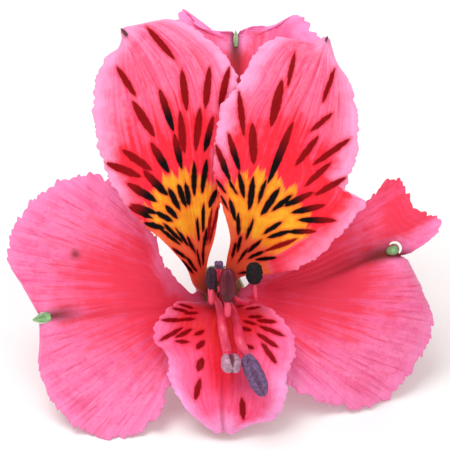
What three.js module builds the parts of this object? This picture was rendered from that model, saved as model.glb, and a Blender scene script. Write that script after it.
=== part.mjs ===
// One alstroemeria (Peruvian lily) bloom, picked with a short stalk and laid down.
//
// The bloom is designed in its own frame: x to the right and y up across its face, z along its
// axis from the ovary (z = 0 at the ovary's top) out to the open face. Six tepals stand on two
// rings round six stamens and a style. At the end the bloom is tilted so that it rests on the lower
// edges of its two side tepals and on the cut end of its stalk. All lengths are millimetres.
import * as THREE from 'three';

// ---- driving dimensions -------------------------------------------------------------------
const faceWidth = 67.6; // across the two side tepals
const innerDepth = 21; // how far the two upper inner tepals stand in front of the ovary
const outerStep = 7.5; // how far the three outer tepals stand behind those
const lipStep = 4; // how far the lower inner tepal, the lip, stands behind those
const tepalThickness = 0.6;
const lapDepth = 1.1; // how far the upper inner tepals step apart where they overlap
const clearance = 0.35; // gap between pieces that touch in life

const styleRadius = 0.4;
const styleLength = 9;
const stigmaRadius = 0.62;
const filamentBaseRadius = 0.4;
const antherNeck = 1.6; // length over which a filament runs straight into its anther
const ovaryLength = 9;
const ovaryShoulder = 0.45; // rim of the ovary outside the outer ring
const stalkRadius = 1.3;
const stalkLength = 8;
const stalkBend = 1.4; // how far the cut end hangs below the bloom's axis
const leftDroop = 1.5; // how far the left tepal's lower edge bends back

// ---- what follows from them ---------------------------------------------------------------
const drawnWidth = 67.6; // face width for which the outlines and stamens below are written
const drawnDepth = 21; // inner depth for which the stamens below are written
const spread = faceWidth / drawnWidth;
const stamenSpread = innerDepth / drawnDepth;
const outerDepth = innerDepth - outerStep;
const lipDepth = innerDepth - lipStep;
const filamentRing = styleRadius + clearance + filamentBaseRadius;
const innerRing = filamentRing + filamentBaseRadius + clearance + tepalThickness / 2;
const outerRing = innerRing + tepalThickness + clearance;
const tepalFoot = clearance + tepalThickness / 2; // height of a claw's foot above the ovary
const ovaryRadius = outerRing + tepalThickness / 2 + ovaryShoulder;

const radians = THREE.MathUtils.degToRad;
const smooth = (value, from, to) => THREE.MathUtils.smoothstep(value, from, to);

// ---- materials ----------------------------------------------------------------------------
const finish = (colour, roughness) =>
  new THREE.MeshStandardMaterial({ color: colour, roughness, metalness: 0 });
const innerTepalFinish = finish(0xf59ab8, 0.55);
const outerTepalFinish = finish(0xe8487f, 0.55);
const lipFinish = finish(0xe2556f, 0.55);
const filamentFinish = finish(0xd4406a, 0.5);
const greenFinish = finish(0x6f8f4a, 0.6);

// ---- tepals -------------------------------------------------------------------------------
// Depth along the axis against the distance r from it: a funnel that opens and then flares back.
function funnel(ring, depth, opening, flareFrom, flare) {
  return (r) => {
    const past = Math.max(0, r - flareFrom * spread);
    return tepalFoot + depth * (1 - Math.exp(-(r - ring) / (opening * spread))) - flare * past * past;
  };
}
const innerFunnel = funnel(innerRing, innerDepth, 6, 28, 0.012);
const lipFunnel = funnel(innerRing, lipDepth, 5, 14, 0.04);
const outerFunnel = funnel(outerRing, outerDepth, 6.5, 24, 0.015);

// Each row is one station from the claw to the tip: left edge, midrib and right edge, left and
// right as seen looking outwards along the tepal. The first station is on the ovary's ring.
const tepals = {
  upper_outer_tepal: {
    ring: outerRing, angle: 58, halfAngle: 22, depth: outerFunnel, finish: outerTepalFinish,
    channel: 0.6, cup: 1.2,
    rows: [
      [[1.4, 3.6], [2.4, 3.4], [3.5, 2.8]],
      [[1.9, 6.6], [3.2, 6.6], [5.4, 5.6]],
      [[2.2, 10.6], [4.2, 10.8], [8.6, 9.2]],
      [[0.8, 15.6], [4.4, 16], [12, 14.2]],
      [[-2.6, 22.8], [3.8, 23.2], [15.2, 21.8]],
      [[-5.4, 31], [3.1, 30.2], [16.6, 30.6]],
      [[-6.9, 38.4], [2.7, 35], [16.2, 37.2]],
      [[-6.6, 42.4], [2.5, 36.8], [14.4, 40.8]],
      [[-5.6, 43.8], [2.4, 37.6], [11.9, 43]],
      [[-3.4, 41.1], [2.4, 38.2], [9, 41.4]],
      [[-0.2, 40.4], [2.4, 38.8], [5, 41.1]],
      [[1.9, 40.3], [2.5, 39.5], [3.2, 40.4]],
    ],
  },
  left_outer_tepal: {
    ring: outerRing, angle: 200, halfAngle: 24, depth: outerFunnel, finish: outerTepalFinish,
    channel: 0.6, cup: 0.8, droopSide: -1,
    rows: [
      [[-3.6, -3.4], [-4.3, -2.2], [-4.3, -0.8]],
      [[-5.4, -8], [-7, -3], [-6, 0.6]],
      [[-7.2, -11.6], [-10.6, -3.6], [-8.6, 3.8]],
      [[-8.2, -15.6], [-14.6, -4], [-10.6, 9.2]],
      [[-9.6, -19.6], [-18.2, -4.1], [-14, 14.8]],
      [[-13.4, -22.5], [-21, -4.2], [-19, 17.8]],
      [[-17.2, -23.2], [-23.2, -4.3], [-24.4, 17]],
      [[-21.6, -21.8], [-24.8, -4.3], [-29.2, 13.8]],
      [[-26, -17.6], [-25.8, -4.3], [-32.2, 9.4]],
      [[-28.2, -12.2], [-26.5, -4.3], [-33, 4.8]],
      [[-28.1, -8], [-27, -4.3], [-30.8, 0.8]],
      [[-28.1, -5.2], [-27.3, -4.3], [-28.3, -3.5]],
    ],
  },
  right_outer_tepal: {
    ring: outerRing, angle: -25, halfAngle: 24, depth: outerFunnel, finish: outerTepalFinish,
    channel: 0.6, cup: 0.8, droopSide: 1,
    rows: [
      [[3.9, 0.2], [4.2, -1.4], [3.6, -3.4]],
      [[6.4, 3], [7, -0.8], [5.8, -8.6]],
      [[10, 5.6], [10.8, 0.3], [8.8, -12.9]],
      [[14.6, 8.7], [14.8, 1.1], [12.8, -16.2]],
      [[18.8, 11.8], [18.2, 2.4], [18, -18.1]],
      [[22.6, 13.6], [21.2, 3.7], [22.6, -18.6]],
      [[26, 16.9], [23.2, 4.6], [26.6, -17]],
      [[28, 17.2], [24.8, 5.1], [29.4, -13.8]],
      [[30, 13.2], [25.9, 5.3], [32.2, -9.6]],
      [[34.6, 10.2], [26.8, 5.3], [33.6, -5.4]],
      [[32.4, 7.6], [27.5, 5.3], [32, -0.4]],
      [[29.7, 5.8], [28, 5.3], [29.6, 4.5]],
    ],
  },
  lower_inner_tepal: {
    ring: innerRing, angle: 270, halfAngle: 34, depth: lipFunnel, finish: lipFinish,
    channel: 1.4, cup: -0.8,
    rows: [
      [[3, -2.1], [0.1, -3.2], [-3, -2.2]],
      [[6.8, -2.6], [0.1, -4.8], [-6.6, -2]],
      [[9.8, -4.6], [0.1, -7.2], [-9.2, -4.2]],
      [[11.8, -9.2], [0.1, -10.2], [-10.4, -7.6]],
      [[10.6, -12.4], [0.2, -13.2], [-8.2, -10]],
      [[10.3, -16], [0.2, -16.4], [-8, -13.4]],
      [[8.9, -19.7], [0.3, -19.2], [-5.6, -18]],
      [[4.8, -21], [0.4, -21], [-2.8, -20.7]],
      [[1.6, -22.5], [0.5, -21.9], [-0.5, -22.4]],
    ],
  },
  left_inner_tepal: {
    ring: innerRing, angle: 185, halfAngle: 26, depth: innerFunnel, finish: innerTepalFinish,
    channel: 0.8, cup: -1.4, lap: (x) => -smooth(x, -9 * spread, 0),
    rows: [
      [[-3.9, 0.4], [-3, 0.6], [-2.2, 1]],
      [[-5.2, 3.4], [-3.3, 4.2], [-1.9, 4.6]],
      [[-8.6, 7.4], [-4.1, 8.2], [-0.9, 8]],
      [[-13, 11.4], [-4.9, 12.8], [-0.2, 12.2]],
      [[-16.9, 17], [-6, 18.6], [0.6, 18]],
      [[-19.1, 24.3], [-7.4, 24.8], [1.8, 24.6]],
      [[-19.3, 31.4], [-9.6, 31.2], [2.8, 31.2]],
      [[-17.6, 35.9], [-12, 35.8], [1.6, 35.2]],
      [[-15.7, 37.4], [-13.7, 38.2], [-2.3, 39.2]],
      [[-15.1, 39], [-14.6, 39.5], [-7, 41.8]],
      [[-15.3, 40], [-15, 40.4], [-14.2, 40.7]],
    ],
  },
  right_inner_tepal: {
    ring: innerRing, angle: 25, halfAngle: 26, depth: innerFunnel, finish: innerTepalFinish,
    channel: 0.8, cup: -1.4, lap: (x) => 1 - smooth(x, 0, 9 * spread),
    rows: [
      [[0.9, 2.6], [1.9, 2.4], [2.9, 1.6]],
      [[1.1, 4.8], [2.8, 4.6], [4.4, 2.2]],
      [[1.6, 8], [4.2, 8.2], [8.4, 2.5]],
      [[0.6, 12.2], [5.7, 12.4], [14, 4.4]],
      [[-0.8, 17.2], [7.3, 16.4], [20.6, 11]],
      [[-0.9, 20.5], [8.6, 19.8], [22.4, 13.6]],
      [[-0.5, 24], [9.8, 23], [19.2, 15]],
      [[0.1, 28], [11.4, 26.8], [21, 20.4]],
      [[3, 32], [13.2, 30.8], [21.1, 27.4]],
      [[5.2, 36.2], [14.8, 34.4], [19.9, 32.2]],
      [[8.6, 39], [15.8, 36.8], [18.1, 35]],
      [[13.5, 38.2], [16.3, 38], [17.3, 37.2]],
      [[16.1, 39], [16.5, 39], [16.9, 38.7]],
    ],
  },
};

// One edge or the midrib as a smooth curve through its stations, starting on the ring.
function stationCurve(tepal, side) {
  const start = radians(tepal.angle - side * tepal.halfAngle);
  const points = [new THREE.Vector3(tepal.ring * Math.cos(start), tepal.ring * Math.sin(start), 0)];
  for (const row of tepal.rows) {
    const [x, y] = row[side + 1];
    points.push(new THREE.Vector3(x * spread, y * spread, 0));
  }
  return new THREE.CatmullRomCurve3(points, false, 'centripetal');
}

// The middle surface of a tepal: along runs 0 to 1 from claw to tip, across runs -1 to 1.
function tepalSurface(tepal, droop) {
  const left = stationCurve(tepal, -1);
  const rib = stationCurve(tepal, 0);
  const right = stationCurve(tepal, 1);
  return (along, across) => {
    const edge = across < 0 ? left : right;
    const point = rib.getPoint(along).lerp(edge.getPoint(along), Math.abs(across));
    const blade = smooth(along, 0.15, 0.6);
    const bend = across * across;
    let depth = tepal.depth(Math.hypot(point.x, point.y));
    depth += bend * (tepal.channel * (1 - blade) * smooth(along, 0, 0.1) + tepal.cup * blade);
    if (tepal.lap) depth += lapDepth * tepal.lap(point.x) * smooth(point.y, 5 * spread, 12 * spread);
    if (across * (tepal.droopSide ?? 0) > 0) depth -= droop * bend * blade;
    point.z = depth;
    return point;
  };
}

const alongSteps = 22;
const acrossSteps = 10;

// A closed sheet: the surface moved half the thickness each way, and a wall round its border.
function sheetGeometry(surface, thickness) {
  const nudge = 1e-3;
  const columns = acrossSteps + 1;
  const layerSize = (alongSteps + 1) * columns;
  const positions = new Float32Array(layerSize * 6);
  const slopeAlong = new THREE.Vector3();
  const slopeAcross = new THREE.Vector3();
  for (let i = 0; i <= alongSteps; i += 1) {
    for (let j = 0; j < columns; j += 1) {
      const along = i / alongSteps;
      const across = (2 * j) / acrossSteps - 1;
      const point = surface(along, across);
      const before = surface(Math.max(0, along - nudge), across);
      slopeAlong.copy(surface(Math.min(1, along + nudge), across)).sub(before);
      slopeAcross.copy(surface(along, Math.min(1, across + nudge)));
      slopeAcross.sub(surface(along, Math.max(-1, across - nudge)));
      const normal = slopeAcross.cross(slopeAlong).normalize();
      const index = i * columns + j;
      point.clone().addScaledVector(normal, thickness / 2).toArray(positions, index * 3);
      point.clone().addScaledVector(normal, -thickness / 2).toArray(positions, (layerSize + index) * 3);
    }
  }
  const faces = [];
  const corner = (index) => new THREE.Vector3().fromArray(positions, index * 3);
  // Two triangles on the shorter diagonal.
  const quad = (a, b, c, d) => {
    const firstShorter = corner(a).distanceTo(corner(c)) < corner(b).distanceTo(corner(d));
    faces.push(...(firstShorter ? [a, b, c, a, c, d] : [b, c, d, b, d, a]));
  };
  for (let i = 0; i < alongSteps; i += 1) {
    for (let j = 0; j < acrossSteps; j += 1) {
      const a = i * columns + j;
      quad(a, a + 1, a + columns + 1, a + columns);
      quad(layerSize + a, layerSize + a + columns, layerSize + a + columns + 1, layerSize + a + 1);
    }
  }
  const wall = (a, b) => quad(b, a, layerSize + a, layerSize + b);
  const last = alongSteps * columns;
  for (let j = 0; j < acrossSteps; j += 1) {
    wall(j, j + 1);
    wall(last + j + 1, last + j);
  }
  for (let i = 0; i < alongSteps; i += 1) {
    wall((i + 1) * columns, i * columns);
    wall(i * columns + acrossSteps, (i + 1) * columns + acrossSteps);
  }
  const geometry = new THREE.BufferGeometry();
  geometry.setAttribute('position', new THREE.BufferAttribute(positions, 3));
  geometry.setIndex(faces);
  geometry.computeVertexNormals();
  return geometry;
}

function makeTepal(name, droop = 0) {
  const tepal = tepals[name];
  const geometry = sheetGeometry(tepalSurface(tepal, droop), tepalThickness);
  const mesh = new THREE.Mesh(geometry, tepal.finish);
  mesh.name = name;
  return mesh;
}

// ---- stamens, style, ovary and stalk ------------------------------------------------------
// A round tube along a curve, closed by a flat cap at each end; its radius changes evenly.
function tubeGeometry(curve, startRadius, endRadius, steps, sides) {
  const frames = curve.computeFrenetFrames(steps, false);
  const positions = [];
  const faces = [];
  for (let i = 0; i <= steps; i += 1) {
    const centre = curve.getPointAt(i / steps);
    const radius = THREE.MathUtils.lerp(startRadius, endRadius, i / steps);
    for (let j = 0; j < sides; j += 1) {
      const turn = (2 * Math.PI * j) / sides;
      const point = centre.clone();
      point.addScaledVector(frames.normals[i], radius * Math.cos(turn));
      point.addScaledVector(frames.binormals[i], radius * Math.sin(turn));
      positions.push(...point.toArray());
    }
  }
  for (let i = 0; i < steps; i += 1) {
    for (let j = 0; j < sides; j += 1) {
      const a = i * sides + j;
      const b = i * sides + ((j + 1) % sides);
      faces.push(a, b, b + sides, a, b + sides, a + sides);
    }
  }
  for (let j = 1; j < sides - 1; j += 1) {
    const end = steps * sides;
    faces.push(0, j + 1, j, end, end + j, end + j + 1);
  }
  const geometry = new THREE.BufferGeometry();
  geometry.setAttribute('position', new THREE.Float32BufferAttribute(positions, 3));
  geometry.setIndex(faces);
  geometry.computeVertexNormals();
  return geometry;
}

// Each stamen starts at its place on the filament ring, follows its filament's points and ends in
// an anther: the anther's centre, the way it points, its length and width, and its colour.
const stamens = [
  {
    ringAngle: 150, radius: 0.5, via: [[-1.3, 0.9, 8], [-1.4, 0.2, 14]],
    anther: { centre: [-1.3, 1.8, 18.2], axis: [0, 1, 0.25], length: 3.7, width: 1.7, colour: 0x40202c },
  },
  {
    ringAngle: 90, radius: 0.45, via: [[-0.05, 1.7, 8], [-0.2, 2.8, 12]],
    anther: { centre: [-0.2, 3.9, 15.6], axis: [0, 0.35, 1], length: 1.9, width: 1.3, colour: 0x6a5a78 },
  },
  {
    ringAngle: 30, radius: 0.55, via: [[1.3, 0.5, 8], [1.2, -1.2, 14]],
    anther: { centre: [1.2, 0.8, 20.2], axis: [0, 1, 0.3], length: 5.6, width: 2.6, colour: 0x5c0a18 },
  },
  {
    ringAngle: -30, radius: 0.38, via: [[1.7, -1, 7], [3.8, -2.2, 11.5], [5.5, -1.6, 14.4]],
    anther: { centre: [5.3, 2.6, 17], axis: [-0.05, 1, 0.3], length: 3.6, width: 2.5, colour: 0x2c302c },
  },
  {
    ringAngle: 210, radius: 0.65, via: [[-0.9, -1.2, 8], [-0.1, -2.6, 13], [0.5, -6.4, 16.8]],
    anther: { centre: [1.7, -11.2, 20.4], axis: [0.12, -0.35, 0.93], length: 4.4, width: 3.1, colour: 0xa08090 },
  },
  {
    ringAngle: 270, radius: 0.65, via: [[0.7, -1.6, 8], [2.1, -3.3, 13.5], [2.9, -6.6, 17.2]],
    anther: { centre: [5.4, -13, 20.2], axis: [0.41, -0.91, 0.06], length: 7.2, width: 2.8, colour: 0x685a74 },
  },
];

const inBloom = ([x, y, z]) => new THREE.Vector3(x * spread, y * spread, z * stamenSpread);

function makeStamen(stamen, number) {
  const { centre, axis, length, width, colour } = stamen.anther;
  const direction = new THREE.Vector3(...axis).normalize();
  const middle = inBloom(centre);
  const antherGeometry = new THREE.SphereGeometry(1, 14, 10);
  antherGeometry.scale(width / 2, length / 2, width / 2);
  const anther = new THREE.Mesh(antherGeometry, finish(colour, 0.7));
  anther.name = `anther_${number}`;
  anther.position.copy(middle);
  anther.quaternion.setFromUnitVectors(new THREE.Vector3(0, 1, 0), direction);

  const angle = radians(stamen.ringAngle);
  const foot = new THREE.Vector3(filamentRing * Math.cos(angle), filamentRing * Math.sin(angle), clearance);
  const end = middle.clone().addScaledVector(direction, -(length / 2 + clearance));
  const neck = end.clone().addScaledVector(direction, -antherNeck);
  const points = [foot, ...stamen.via.map(inBloom), neck, end];
  const path = new THREE.CatmullRomCurve3(points, false, 'centripetal');
  const filamentGeometry = tubeGeometry(path, filamentBaseRadius, stamen.radius, 16, 8);
  const filament = new THREE.Mesh(filamentGeometry, filamentFinish);
  filament.name = `filament_${number}`;
  return [filament, anther];
}

function makeStyle() {
  const top = new THREE.Vector3(0, 0, clearance + styleLength);
  const foot = new THREE.Vector3(0, 0, clearance);
  const geometry = tubeGeometry(new THREE.LineCurve3(foot, top), styleRadius, stigmaRadius, 6, 8);
  const style = new THREE.Mesh(geometry, filamentFinish);
  style.name = 'style';
  return style;
}

function makeOvary() {
  const belly = new THREE.SplineCurve([
    new THREE.Vector2(stalkRadius + 0.3, -ovaryLength),
    new THREE.Vector2(stalkRadius + 0.35 * (ovaryRadius - stalkRadius), -0.85 * ovaryLength),
    new THREE.Vector2(0.92 * ovaryRadius, -0.5 * ovaryLength),
    new THREE.Vector2(ovaryRadius, -0.2 * ovaryLength),
    new THREE.Vector2(ovaryRadius - 0.3, 0),
  ]);
  const axisFoot = new THREE.Vector2(0, -ovaryLength);
  const profile = [axisFoot, ...belly.getPoints(10), new THREE.Vector2(0, 0)];
  const geometry = new THREE.LatheGeometry(profile, 24);
  geometry.rotateX(Math.PI / 2);
  const ovary = new THREE.Mesh(geometry, greenFinish);
  ovary.name = 'ovary';
  return ovary;
}

function makeStalk() {
  const top = -ovaryLength - clearance;
  const path = new THREE.CatmullRomCurve3([
    new THREE.Vector3(0, 0, top),
    new THREE.Vector3(0, -stalkBend / 4, top - stalkLength / 2),
    new THREE.Vector3(0, -stalkBend, top - stalkLength),
  ]);
  const stalk = new THREE.Mesh(tubeGeometry(path, stalkRadius, stalkRadius, 8, 16), greenFinish);
  stalk.name = 'stalk';
  return stalk;
}

// ---- laying it down -----------------------------------------------------------------------
// Height of a mesh's lowest point when the axis is raised by elevation above the floor.
function lowestPoint(mesh, elevation) {
  const { array, count } = mesh.geometry.attributes.position;
  let lowest = Infinity;
  for (let i = 0; i < count; i += 1) {
    const height = array[3 * i + 1] * Math.cos(elevation) + array[3 * i + 2] * Math.sin(elevation);
    lowest = Math.min(lowest, height);
  }
  return lowest;
}

// The value between low and high at which a falling function crosses zero.
const halvings = 26;
function crossing(fallingFunction, low, high) {
  let [start, end] = [low, high];
  for (let step = 0; step < halvings; step += 1) {
    const middle = (start + end) / 2;
    if (fallingFunction(middle) > 0) start = middle;
    else end = middle;
  }
  return (start + end) / 2;
}

const stalk = makeStalk();
const leftOuter = makeTepal('left_outer_tepal', leftDroop);
const stalkAboveTepal = (angle) => lowestPoint(stalk, angle) - lowestPoint(leftOuter, angle);
const elevation = crossing(stalkAboveTepal, radians(15), radians(75));
const floor = lowestPoint(leftOuter, elevation);
// The right tepal is the higher one, so its lower edge bends back until it rests too.
const rightAboveFloor = (droop) => lowestPoint(makeTepal('right_outer_tepal', droop), elevation) - floor;
const rightDroop = crossing(rightAboveFloor, 0, 30);

const bloom = new THREE.Group();
bloom.add(stalk, makeOvary(), makeStyle(), leftOuter);
bloom.add(makeTepal('right_outer_tepal', rightDroop));
for (const name of ['upper_outer_tepal', 'lower_inner_tepal', 'left_inner_tepal', 'right_inner_tepal']) {
  bloom.add(makeTepal(name));
}
stamens.forEach((stamen, index) => bloom.add(...makeStamen(stamen, index + 1)));
bloom.rotation.x = Math.PI / 2 - elevation;

// The origin is on the floor under the middle of the bloom's box.
const part = new THREE.Group();
part.add(bloom);
part.updateMatrixWorld(true);
const box = new THREE.Box3().setFromObject(part, true);
bloom.position.set(-(box.min.x + box.max.x) / 2, -(box.min.y + box.max.y) / 2, -box.min.z);
part.updateMatrixWorld(true);

export default part;
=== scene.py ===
"""A picked alstroemeria bloom lying on a table, built round its solid frame.

Lengths in the bloom's own frame are millimetres: x to the right and y up across its face, z along
its axis from the top of the ovary. `placed` turns them into metres in the scene.
"""
import math

import bpy
import numpy as np
from bpy.props import FloatProperty, FloatVectorProperty, PointerProperty
from bpy.types import Operator, Panel, PropertyGroup
from mathutils import Matrix, Vector


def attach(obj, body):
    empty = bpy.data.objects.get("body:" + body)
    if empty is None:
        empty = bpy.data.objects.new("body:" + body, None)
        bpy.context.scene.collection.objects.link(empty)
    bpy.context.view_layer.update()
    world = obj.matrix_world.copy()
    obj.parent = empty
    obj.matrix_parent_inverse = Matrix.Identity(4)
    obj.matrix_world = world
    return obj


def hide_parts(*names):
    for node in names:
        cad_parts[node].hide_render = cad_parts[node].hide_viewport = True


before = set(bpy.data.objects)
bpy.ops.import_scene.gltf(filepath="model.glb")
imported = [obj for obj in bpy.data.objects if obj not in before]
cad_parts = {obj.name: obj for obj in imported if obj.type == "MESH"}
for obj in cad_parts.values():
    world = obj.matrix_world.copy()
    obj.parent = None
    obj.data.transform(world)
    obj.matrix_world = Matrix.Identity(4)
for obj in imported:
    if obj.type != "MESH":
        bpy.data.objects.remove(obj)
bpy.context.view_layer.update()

bl_info = {
    "name": "Alstroemeria bloom",
    "version": (1, 0, 0),
    "blender": (4, 5, 0),
    "location": "3D View > Sidebar > Bloom",
    "description": "Builds a picked alstroemeria bloom, its stamens and its stage",
    "category": "Object",
}

ROOT = "root"
MM = 0.001

# ---- the bloom's own frame, read from the solid frame --------------------------------------


def solid(node):
    """The corner points and triangles of a node's closed mesh, in metres."""
    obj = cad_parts[node]
    mesh = obj.data
    mesh.calc_loop_triangles()
    points = np.empty(len(mesh.vertices) * 3)
    mesh.vertices.foreach_get("co", points)
    world = np.array(obj.matrix_world)
    points = points.reshape(-1, 3) @ world[:3, :3].T + world[:3, 3]
    corners = np.empty(len(mesh.loop_triangles) * 3, dtype=np.int64)
    mesh.loop_triangles.foreach_get("vertices", corners)
    return points, corners.reshape(-1, 3)


def centre_of(node):
    """The centre of volume of a node."""
    points, corners = solid(node)
    a, b, c = (points[corners[:, i]] for i in range(3))
    volume = np.einsum("ij,ij->i", a, np.cross(b, c))
    return ((a + b + c) * volume[:, None]).sum(axis=0) / (4 * volume.sum())


def unit(vector):
    return np.asarray(vector) / np.linalg.norm(vector)


def bloom_frame():
    """Origin and axes of the bloom: the style and the ovary both stand on its axis."""
    ovary_centre = centre_of("ovary")
    axis = unit(centre_of("style") - ovary_centre)
    top = (solid("ovary")[0] @ axis).max()
    origin = ovary_centre + axis * (top - ovary_centre @ axis)
    right = np.array([1.0, 0.0, 0.0])
    return origin, np.array([right, np.cross(axis, right), axis])


ORIGIN, AXES = bloom_frame()
AXIS_UP, AXIS_OUT = AXES[1], AXES[2]


def placed(points):
    """Points of the bloom's own frame, in millimetres, as points of the scene, in metres."""
    return ORIGIN + np.asarray(points, dtype=float) @ AXES * MM


# ---- shared sizes of the solid frame, in millimetres ----------------------------------------
GAP = 0.35  # the gap that the solids keep, which the visible pieces close
STYLE_RADIUS = 0.4
FILAMENT_FOOT = 0.4
FILAMENT_RING = STYLE_RADIUS + GAP + FILAMENT_FOOT
SOLID_TEPAL = 0.6
INNER_RING = FILAMENT_RING + FILAMENT_FOOT + GAP + SOLID_TEPAL / 2
OUTER_RING = INNER_RING + SOLID_TEPAL + GAP
TEPAL_FOOT = GAP + SOLID_TEPAL / 2
OVARY_RADIUS = OUTER_RING + SOLID_TEPAL / 2 + 0.45
OVARY_LENGTH = 9.0
STALK_RADIUS = 1.3
STALK_LENGTH = 8.0
STALK_BEND = 1.4
LAP_DEPTH = 1.1


def smooth(value, low, high):
    """0 below low, 1 above high and a smooth step between."""
    step = np.clip((value - low) / (high - low), 0, 1)
    return step * step * (3 - 2 * step)


def bell(value, width):
    """1 at zero, falling smoothly to almost nothing past twice the width."""
    return np.exp(-(value / width) ** 2)


def funnel(ring, depth, opening, flare_from, flare):
    """Depth along the axis against the distance from it."""
    def height(r):
        past = np.maximum(0, r - flare_from)
        return TEPAL_FOOT + depth * (1 - np.exp(-(r - ring) / opening)) - flare * past * past
    return height


INNER_FUNNEL = funnel(INNER_RING, 21, 6, 28, 0.012)
LIP_FUNNEL = funnel(INNER_RING, 17, 5, 14, 0.04)
OUTER_FUNNEL = funnel(OUTER_RING, 13.5, 6.5, 24, 0.015)

# ---- tepals: outlines ----------------------------------------------------------------------
OUTER = {"slot": "outer_tepal", "ring": OUTER_RING, "depth": OUTER_FUNNEL, "channel": 0.6}
INNER = {
    "slot": "inner_tepal", "ring": INNER_RING, "half_angle": 26, "depth": INNER_FUNNEL,
    "channel": 0.8, "cup": -1.4, "rib": ((0.25, 0.4), (0.25, 0.4)),
}

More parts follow.
